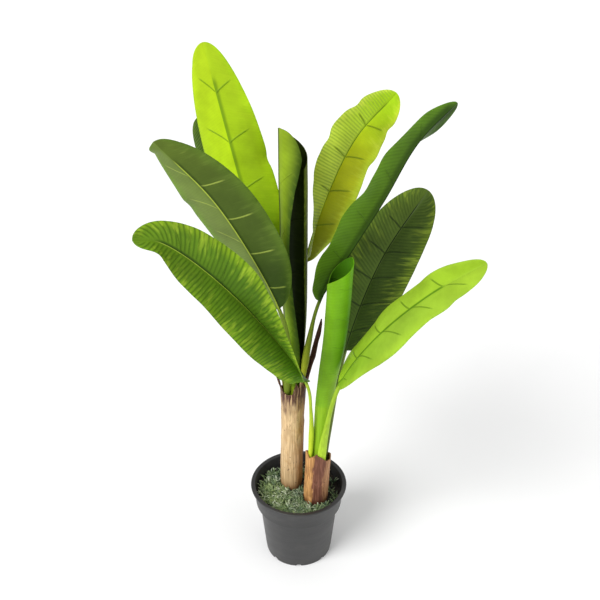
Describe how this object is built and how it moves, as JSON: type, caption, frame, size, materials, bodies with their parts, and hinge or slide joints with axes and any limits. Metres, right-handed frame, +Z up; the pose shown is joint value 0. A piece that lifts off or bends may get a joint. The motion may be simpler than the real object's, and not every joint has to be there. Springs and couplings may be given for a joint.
{
  "type": "potted artificial banana plant",
  "caption": "Upright artificial banana plant with broad paddle leaves and two rolled ones on tan trunks, in a black nursery pot",
  "frame": {"origin": "middle of the pot's flat base, on the surface that it stands on", "axes": "+Z up along the trunks, -Y towards the front, the side with both trunks and most leaf faces in view, +X to the right seen from the front"},
  "size_m": [0.4945, 0.3514, 0.8975],
  "materials": {
    "black_plastic": "satin black moulded plastic",
    "dark_soil": "rough dark set filling",
    "moss_green": "matte plastic moss",
    "tan_bark": "matte tan with dark speckles and dried brown sheaths",
    "brown_bark": "matte orange brown with a dark stripe",
    "bright_leaf": "satin coated cloth, bright yellow green",
    "dark_leaf": "satin coated cloth, dark olive green",
    "mid_leaf": "satin coated cloth, mid green"
  },
  "bodies": {
    "root": {"pot": "black_plastic", "potting_fill": "dark_soil", "ground_cover": "moss_green", "trunk_tall": "tan_bark", "trunk_short": "brown_bark", "leaf_high_left": "bright_leaf", "leaf_mid_left": "dark_leaf", "leaf_low_left": "mid_leaf", "leaf_back_left": "dark_leaf", "leaf_high_right": "bright_leaf", "leaf_folded_right": "dark_leaf", "leaf_back_right": "dark_leaf", "leaf_low_right": "bright_leaf", "leaf_rolled_tall": "mid_leaf", "leaf_rolled_short": "mid_leaf"}
  },
  "joints": []
}
